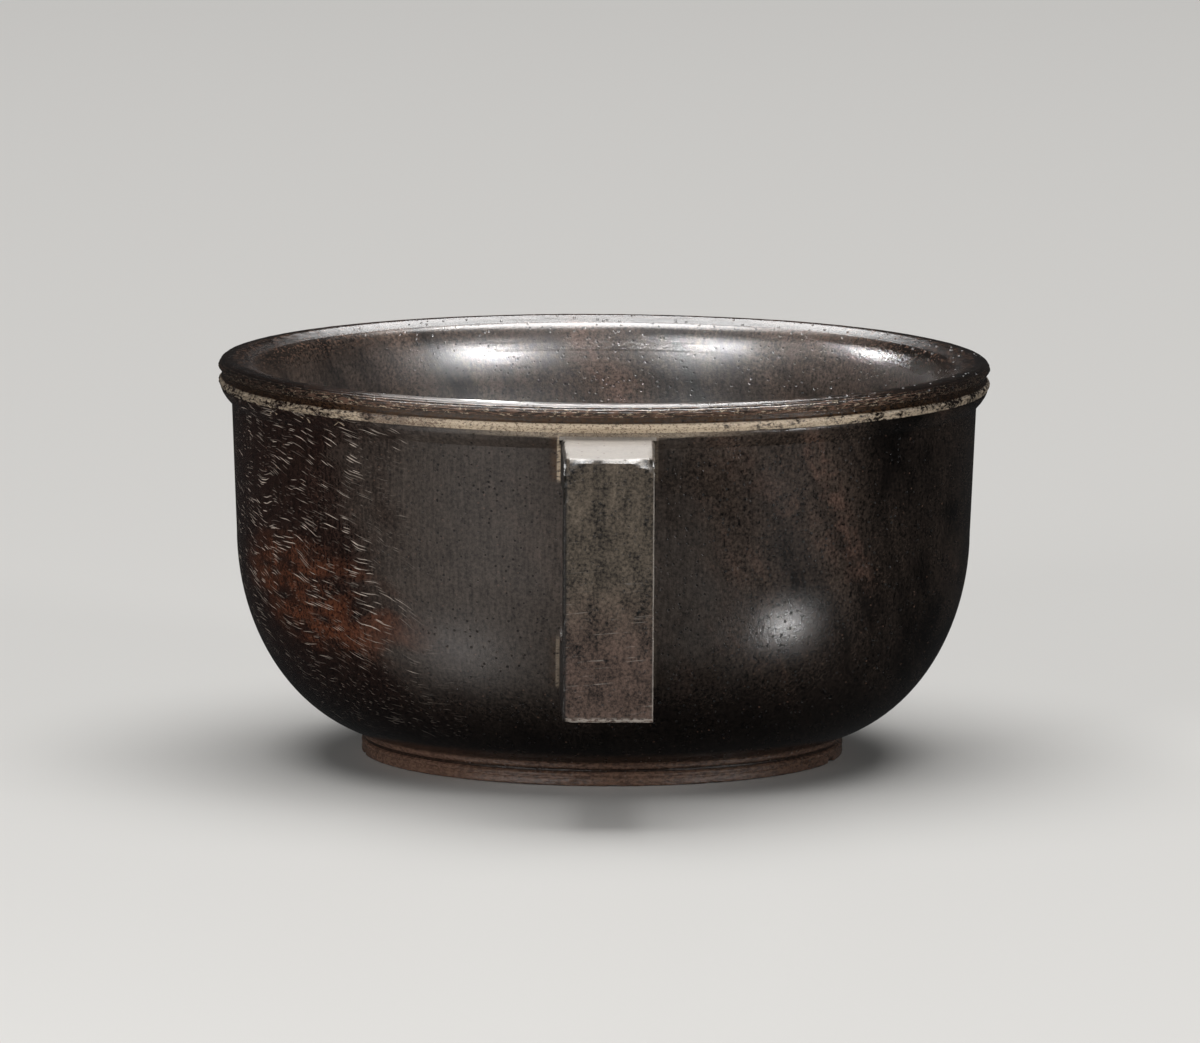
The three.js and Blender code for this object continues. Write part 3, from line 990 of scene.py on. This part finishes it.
    def soil_creases(self):
        """Stain where the handles' arms meet the wall, and a pale line in the crease that is dust and a
        painted highlight of the small fillet there, most of it on the left.
        """
        handle, shades = self.form.handle, self.shades
        half, bottom, top = mm(handle.root) / 2, mm(handle.bottom), mm(self.form.handle_top)
        upper = self.z.between(top - mm(handle.upper), top, 0.5)
        lower = self.z.between(bottom + 1, bottom + mm(handle.lower), 0.5)
        arms = (upper + lower * 0.35) * abs(self.y).rise(28, 32) * self.outside * (1 - self.front_right * 0.8)
        stain = abs(self.x).between(half, half + 0.5, 0.8) * arms
        self.lay(stain * self.crumbs.rise(0.3, 0.6) * 0.7, shades.rust)
        # Dust and a painted highlight: the pale line where the small fillet in the crease catches the light.
        crease_dust_and_highlight = abs(self.x).between(half, half + 0.22, 0.15) * arms * self.crumbs.rise(0.3, 0.55) * 0.8
        self.dusty = self.maths("MAXIMUM", self.dusty, crease_dust_and_highlight)
        self.lay(crease_dust_and_highlight, shades.dust)

    def bare_foot(self):
        """Bare, dusty wood at the foot, lighter towards the left as painted light, with painted shade in the
        groove above it.
        """
        form, shades = self.form, self.shades
        bottom = mm(form.belly_bottom)
        ring = self.z.fall(bottom, bottom + 0.3) * self.r.rise(20, 21)
        # Bare wood, and painted light: the foot is laid lighter towards the left, where the light falls.
        bare = 0.25 + self.crumbs.rise(0.4, 0.62) * 0.5 + self.arc.fall(-30, -10) * 0.25
        self.lay(ring * bare, shades.bare)
        self.rough_wood = self.rough_wood + ring
        # Painted shade in the groove above the foot.
        groove = self.z.between(mm(form.foot.height), mm(form.groove_bottom), 0.08) * ring
        self.lay(groove * 0.8, shades.heart_and_shade)

    def wear_handles(self):
        """The handles: olive above and rosy below, upright grain, level scratches, worn arrises with a
        painted highlight on the right one and painted shade on the left one, and a level top painted pale
        with dust and a painted reflection.
        """
        shades, handle, crumbs = self.shades, self.handle, self.crumbs
        half, front = mm(self.form.handle.width) / 2, mm(self.form.handle.reach)
        bottom, top = mm(self.form.handle.bottom), mm(self.form.handle_top)
        aside, front_left = abs(self.x), (1 - self.front_right) * handle

        tone = self.mix((self.z + crumbs * 8).rise(21, 31), shades.rosy, shades.olive)
        upright = self.noise(self.joined(self.x * 1.6, self.y * 0.3, self.z * 0.09), 3, 0.6)
        mottle = self.pattern((0.45, 0.45, 0.28), 1, 0.6)
        tone = self.scaled(tone, 1 + (self.grain - 0.5) * 4.5 + (upright - 0.5) * 0.8 + (mottle - 0.5) * 2.6)
        self.lay(handle * (1 - self.holes * 0.7), tone)
        level = self.joined(self.x * 0.16, self.y * 0.16, (self.z - self.x * 0.09) * 3.8)
        broken = self.pattern((0.5, 0.5, 0.9)).rise(0.42, 0.6)
        scratches = self.noise(level, 2, 0.55).rise(0.62, 0.72) * broken * handle * self.z.fall(16, 34)
        self.lay(scratches * 0.35, shades.worn)

        low = self.z.fall(bottom + 0.35, bottom + 0.7) * abs(self.y).rise(front - 1.5, front - 0.5) * handle
        self.lay(low * crumbs.rise(0.4, 0.55) * 0.7, shades.worn)
        nicks = aside.rise(half - 1, half - 0.3) * front_left * self.z.fall(13, 21)
        self.lay(nicks * crumbs.rise(0.52, 0.6) * 0.7, shades.red)
        # Painted shade along the left arris.
        shaded = aside.rise(half - 0.45, half - 0.2) * front_left
        self.lay(shaded * crumbs.rise(0.25, 0.45) * 0.9, shades.heart_and_shade)
        # Worn arrises, and a painted highlight along the right arris.
        edge = aside.rise(half - 0.22, half - 0.06) * abs(self.y).rise(front - 0.5, front - 0.2) * handle
        edge = edge * (self.front_right * 0.8 + crumbs.rise(0.5, 0.62) * 0.2)
        self.lay(edge * 0.6, shades.worn)
        # Dust and a painted reflection of the light from behind on the level top.
        top_dust_and_reflection = self.z.rise(top - 0.22, top - 0.1) * handle
        self.lay(top_dust_and_reflection * (0.34 + crumbs * 0.45), shades.worn)

    def finished(self):
        """Lays all the colours in order and adds gloss and fine relief."""
        self.grow()
        self.lay_patches()
        self.speckle()
        self.open_pores()
        self.soil_rim()
        self.soil_creases()
        self.bare_foot()
        self.wear_handles()
        smear = self.pattern((0.25, 0.25, 0.25), 1, 0.6)
        dull = self.dusty * 0.4 + self.holes * 0.3 + self.handle * 0.24 + self.even * 0.2
        # The hollow is rougher except at the rim's sides, which are painted as shade.
        rough = 0.16 + smear * 0.08 + dull + self.inside * (1 - self.ends) * 0.1 - self.polished * 0.08
        leather = self.pattern((6, 6, 6), 1)
        relief = self.grain * 0.5 + leather * 0.6 - self.holes * 5 + self.rough_wood * self.crumbs * 7
        bump = self.node("ShaderNodeBump", {}, {"Strength": 0.38, "Distance": 0.06 * MM, "Height": relief})
        return self.surface({
            "Base Color": self.base, "Roughness": rough, "Normal": bump,
            "IOR": 1.5, "Specular IOR Level": 0.32,
        })


# The panels of light: name, place, target, width with height, all in metres, and power in watts

SOFT_PANELS = [
    ("overhead", (0, 0.3, 2), (0, 0, 0), (2.4, 2.4), 70),
    ("right", (0.46, -0.34, 0.18), (0, 0, 0.02), (0.18, 0.18), 0.9),
    ("left", (-0.3, -0.48, 0.17), (0, 0, 0.02), (0.18, 0.18), 1.4),
]

# The low ones shine up from below the floor, and the inner ones stand within the bowl's opening
GLOSS_PANELS = [
    ("behind", (0, 0.6, 0.5), (0, 0, 0.04), (0.22, 0.25), 1.1),
    ("crest", (0.02, 0.06, 0.62), (0, 0, 0.04), (0.5, 0.5), 26),
    ("right_low", (0.494, -0.272, -0.258), (0.018, -0.033, 0.018), (0.04, 0.04), 0.6),
    ("right_glow", (0.494, -0.272, -0.258), (0.018, -0.033, 0.018), (0.24, 0.24), 0.3),
    ("left_low", (-0.384, -0.318, -0.363), (-0.014, -0.034, 0.015), (0.11, 0.11), 0.6),
    ("inner_left", (0.024, -0.01, 0.053), (-0.0128, 0.0325, 0.0376), (0.005, 0.003), 0.075),
    ("inner_middle", (-0.0222, -0.0105, 0.062), (0.0109, 0.0334, 0.0384), (0.0066, 0.0033), 0.078),
    ("inner_right", (-0.0119, 0.0346, 0.0539), (0.0284, 0.0211, 0.0391), (0.004, 0.003), 0.014),
]


# Operators

class CUP_OT_carve_cup(bpy.types.Operator):
    """Turn the bowl, carve its two handles and join them into one piece of wood"""
    bl_idname = "cup.carve_cup"
    bl_label = "Carve Cup"

    def execute(self, context):
        scene = context.scene
        form = Form(scene)
        wear = scene.cup_wear
        cup = turn("carved_cup", form.turned_profile(), form.bowl.turns)
        weather_bowl(cup, form, wear)
        for at_back, seed, left_way in ((False, 7, -1), (True, 57, 1)):
            for part in (carve_handle(form, wear, seed, left_way), carve_ledges(form)):
                if at_back:
                    turn_half_round(part)
                combine(cup, part, "UNION")
        tear_fibres(cup, form, wear)
        take_up(cup, "EDIT")
        close_mesh(0.004 * MM)
        bpy.ops.object.shade_smooth_by_angle(angle=math.radians(28))
        cup.data.materials.clear()
        cup.data.materials.append(DarkHardwood("dark_hardwood", form, scene.cup_wood).finished())
        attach(cup, "root")
        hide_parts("cup")
        return {"FINISHED"}


class CUP_OT_set_stage(bpy.types.Operator):
    """Lay the floor and set the soft lights and the camera"""
    bl_idname = "cup.set_stage"
    bl_label = "Set Stage"

    def execute(self, context):
        stage = context.scene.cup_stage
        deselect_all()
        bpy.ops.mesh.primitive_plane_add(size=2 * stage.extent)
        floor = context.object
        floor.name = "floor"
        sheet = Sheet("pale_floor")
        floor.data.materials.append(sheet.surface({"Base Color": (*stage.floor, 1), "Roughness": 0.4}))
        floor.visible_glossy = False
        gloss = bpy.data.collections.new("takes_gloss")
        gloss.objects.link(bpy.data.objects["carved_cup"])
        for panel in SOFT_PANELS:
            self.light(*panel)
        bpy.data.objects["overhead"].visible_glossy = False
        for panel in GLOSS_PANELS:
            self.light(*panel, gloss)
        world = bpy.data.worlds.new("soft_room")
        world.use_nodes = True
        world.node_tree.nodes["Background"].inputs["Color"].default_value = (*[stage.room] * 3, 1)
        context.scene.world = world
        context.scene.view_settings.view_transform = "Standard"
        self.camera(context, stage)
        return {"FINISHED"}

    def light(self, name, place, target, size, power, gloss=None):
        """A soft panel. One that is given a collection only adds gloss to what is in it."""
        bpy.ops.object.light_add(type="AREA", location=place)
        lamp = bpy.context.object
        lamp.name = name
        lamp.data.shape = "RECTANGLE"
        lamp.data.size, lamp.data.size_y = size
        lamp.data.energy = power
        towards = Vector(target) - Vector(place)
        lamp.rotation_euler = towards.to_track_quat("-Z", "Y").to_euler()
        if gloss is not None:
            lamp.visible_diffuse = False
            lamp.light_linking.receiver_collection = gloss
            lamp.light_linking.blocker_collection = gloss
            lamp.visible_camera = False

    def camera(self, context, stage):
        place = Vector((-0.01352, -1.3, 0.19736))
        aim = Vector((-0.000344, 0, 0.023957))
        bpy.ops.object.camera_add(location=place)
        camera = context.object
        camera.name = "camera"
        camera.data.sensor_width = 36
        camera.data.lens = 1000 * stage.lens
        camera.rotation_mode = "QUATERNION"
        roll = Quaternion((0, 0, 1), stage.roll)
        camera.rotation_quaternion = (aim - place).to_track_quat("-Z", "Y") @ roll
        context.scene.camera = camera


class CUP_PT_sidebar(bpy.types.Panel):
    """The cup's sizes, its colours and the two steps that make it"""
    bl_idname = "CUP_PT_sidebar"
    bl_label = "Two-handled cup"
    bl_space_type = "VIEW_3D"
    bl_region_type = "UI"
    bl_category = "Cup"

    def draw(self, context):
        for name in GROUPS:
            box = self.layout.box()
            group = getattr(context.scene, name)
            box.label(text=name.removeprefix("cup_").title())
            for key in group.__annotations__:
                box.prop(group, key)
        self.layout.operator("cup.carve_cup")
        self.layout.operator("cup.set_stage")


GROUPS = {
    "cup_bowl": BowlSizes,
    "cup_rim": RimSizes,
    "cup_foot": FootSizes,
    "cup_handle": HandleSizes,
    "cup_wear": WearAmounts,
    "cup_wood": WoodColours,
    "cup_stage": StageSettings,
}
CLASSES = (*GROUPS.values(), CUP_OT_carve_cup, CUP_OT_set_stage, CUP_PT_sidebar)


def register():
    for kind in CLASSES:
        bpy.utils.register_class(kind)
    for name, group in GROUPS.items():
        setattr(bpy.types.Scene, name, PointerProperty(type=group))


def unregister():
    for name in GROUPS:
        delattr(bpy.types.Scene, name)
    for kind in reversed(CLASSES):
        bpy.utils.unregister_class(kind)


def main():
    register()
    bpy.ops.cup.carve_cup()
    bpy.ops.cup.set_stage()


if __name__ == "__main__":
    main()
